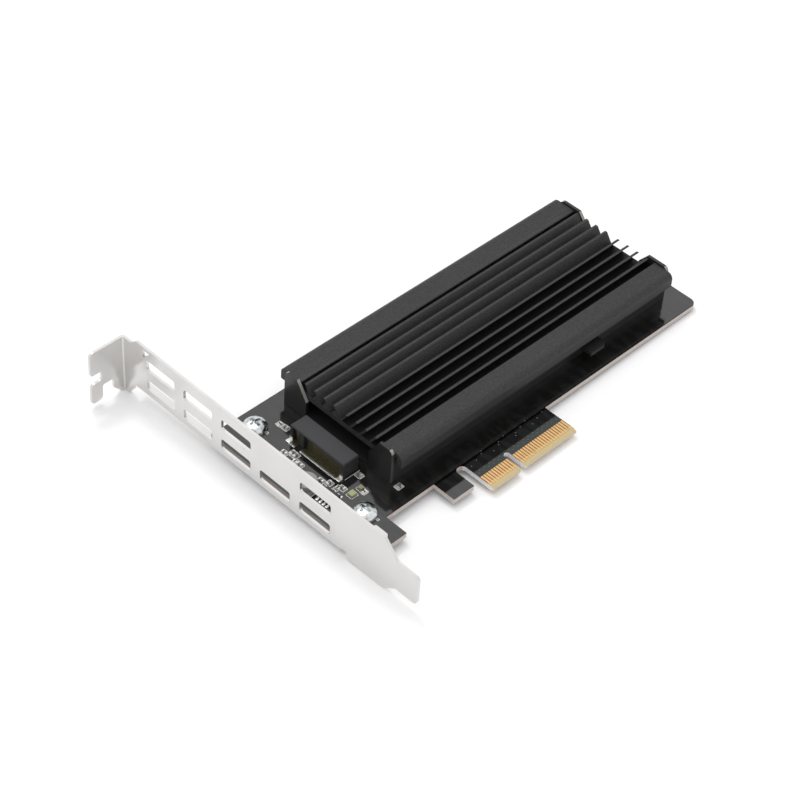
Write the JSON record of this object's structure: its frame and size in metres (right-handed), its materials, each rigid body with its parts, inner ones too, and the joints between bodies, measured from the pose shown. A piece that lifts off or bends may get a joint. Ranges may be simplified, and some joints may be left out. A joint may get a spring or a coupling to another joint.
{
  "type": "nvme adapter card",
  "caption": "Expansion card with a slotted metal bracket that carries one slim solid state drive under a clip-on finned heatsink, with a gold edge connector.",
  "frame": {"origin": "corner where the bracket's outer face, the outer face of its screw flange and the plane of the card's component face meet", "axes": "+X from the bracket along the card to its far end, +Y towards the bracket's screw flange and away from the edge connector, +Z out of the component face"},
  "size_m": [0.1612, 0.12, 0.0229],
  "materials": {
    "board_mask": "glossy black solder mask over glass fibre laminate",
    "gold": "gold plated contact",
    "bracket_steel": "satin nickel plated sheet",
    "screw_zinc": "bright zinc plate",
    "socket_plastic": "fine matt moulding",
    "spring_contact": "plated copper alloy",
    "tin": "tinned metal",
    "anodised_aluminium": "black anodised, satin",
    "thermal_gum": "soft matt pad",
    "frame_plastic": "black moulding, glossy",
    "screw_black": "black nickel plate",
    "stand_off_brass": "turned brass",
    "capacitor_ceramic": "fired ceramic, tan",
    "resistor_ceramic": "glazed black",
    "ferrite": "ground ferrite",
    "chip_resin": "moulded resin",
    "crystal_can": "metal lid on ceramic",
    "lamp_lens": "clear resin lens"
  },
  "bodies": {
    "root": {"circuit_board": "board_mask", "edge_contacts_component_side": "gold", "edge_contacts_solder_side": "gold", "io_bracket": "bracket_steel", "bracket_screws": "screw_zinc", "drive_socket_housing": "socket_plastic", "socket_back_contacts": "spring_contact", "socket_front_contacts": "spring_contact", "socket_hold_downs": "tin", "heatsink_cover": "anodised_aluminium", "thermal_pad": "thermal_gum", "base_frame": "frame_plastic", "frame_screws": "screw_black", "drive_stand_offs": "stand_off_brass", "ceramic_capacitors": "capacitor_ceramic", "chip_resistors": "resistor_ceramic", "chip_metal_ends": "tin", "power_inductor": "ferrite", "regulator_chip": "chip_resin", "regulator_legs": "tin", "clock_crystal": "crystal_can", "status_lamp": "lamp_lens"}
  },
  "joints": []
}
